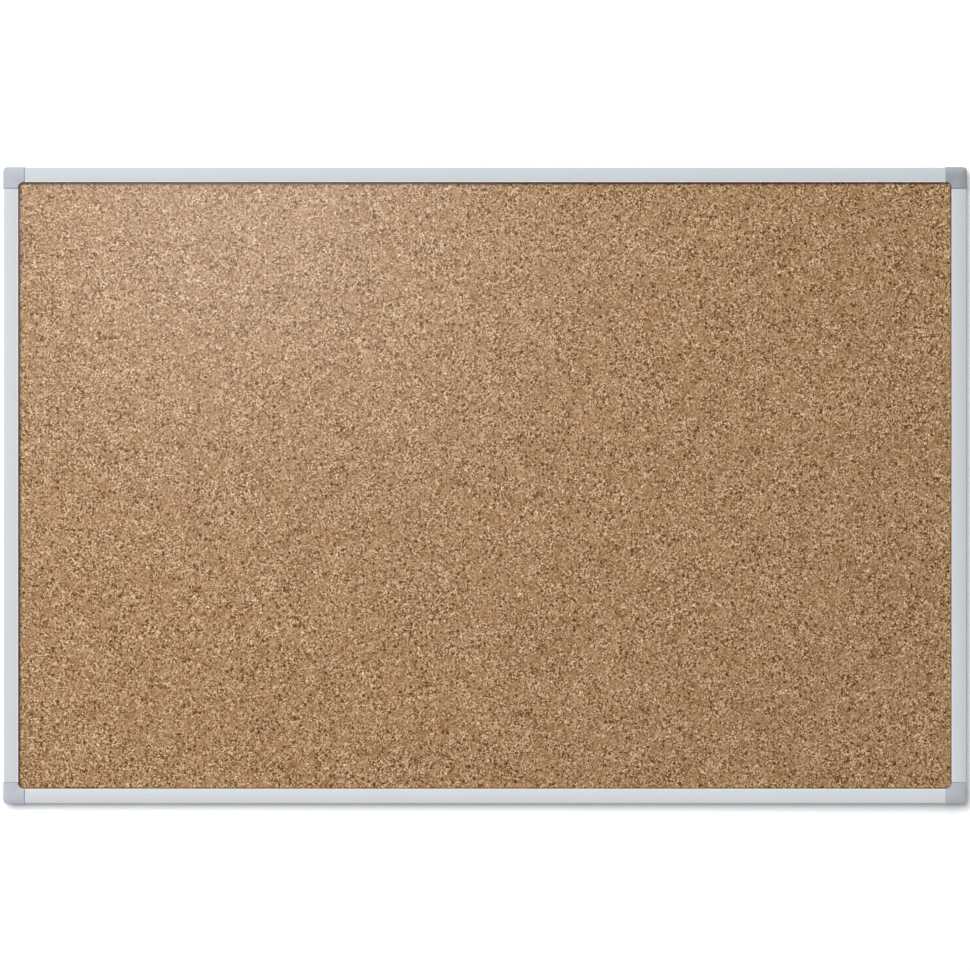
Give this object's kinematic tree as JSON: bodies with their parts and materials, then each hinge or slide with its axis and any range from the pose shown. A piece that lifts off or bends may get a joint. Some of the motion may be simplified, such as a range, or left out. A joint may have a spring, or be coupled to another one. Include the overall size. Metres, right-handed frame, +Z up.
{
  "type": "cork bulletin board",
  "caption": "Wall-hung rectangular cork pin board in a hollow aluminium frame with clip-on plastic corner caps that hide the wall screws.",
  "frame": {"origin": "centre of the whole board's bounding box", "axes": "+X towards the reader's right along the board's long side, +Y from the cork into the wall, +Z up; the cork faces -Y"},
  "size_m": [0.914, 0.015, 0.604],
  "materials": {
    "cork": "fine agglomerated cork, matt",
    "fibreboard": "soft fibreboard, matt",
    "backing_paper": "thin kraft backing, matt",
    "anodised_aluminium": "satin anodised extrusion",
    "elbow_plastic": "moulded, light grey",
    "cap_plastic": "finely textured moulding, light cool grey",
    "zinc_plated_steel": "bright zinc plated"
  },
  "bodies": {
    "board": {"cork_sheet": "cork", "fibreboard_core": "fibreboard", "backing_sheet": "backing_paper", "rail_top": "anodised_aluminium", "rail_bottom": "anodised_aluminium", "rail_left": "anodised_aluminium", "rail_right": "anodised_aluminium", "corner_elbow_top_left": "elbow_plastic", "corner_elbow_top_right": "elbow_plastic", "corner_elbow_bottom_left": "elbow_plastic", "corner_elbow_bottom_right": "elbow_plastic", "screw_top_left_long_rail": "zinc_plated_steel", "screw_top_left_short_rail": "zinc_plated_steel", "screw_top_right_long_rail": "zinc_plated_steel", "screw_top_right_short_rail": "zinc_plated_steel", "screw_bottom_left_long_rail": "zinc_plated_steel", "screw_bottom_left_short_rail": "zinc_plated_steel", "screw_bottom_right_long_rail": "zinc_plated_steel", "screw_bottom_right_short_rail": "zinc_plated_steel"},
    "cap_top_left": {"corner_cap_top_left": "cap_plastic"},
    "cap_top_right": {"corner_cap_top_right": "cap_plastic"},
    "cap_bottom_left": {"corner_cap_bottom_left": "cap_plastic"},
    "cap_bottom_right": {"corner_cap_bottom_right": "cap_plastic"}
  },
  "joints": [
    {"name": "cap_top_left_off", "type": "slide", "parent": "board", "child": "cap_top_left", "axis": [0, -1, 0], "range_m": [0, 0.03]},
    {"name": "cap_top_right_off", "type": "slide", "parent": "board", "child": "cap_top_right", "axis": [0, -1, 0], "range_m": [0, 0.03]},
    {"name": "cap_bottom_left_off", "type": "slide", "parent": "board", "child": "cap_bottom_left", "axis": [0, -1, 0], "range_m": [0, 0.03]},
    {"name": "cap_bottom_right_off", "type": "slide", "parent": "board", "child": "cap_bottom_right", "axis": [0, -1, 0], "range_m": [0, 0.03]}
  ]
}
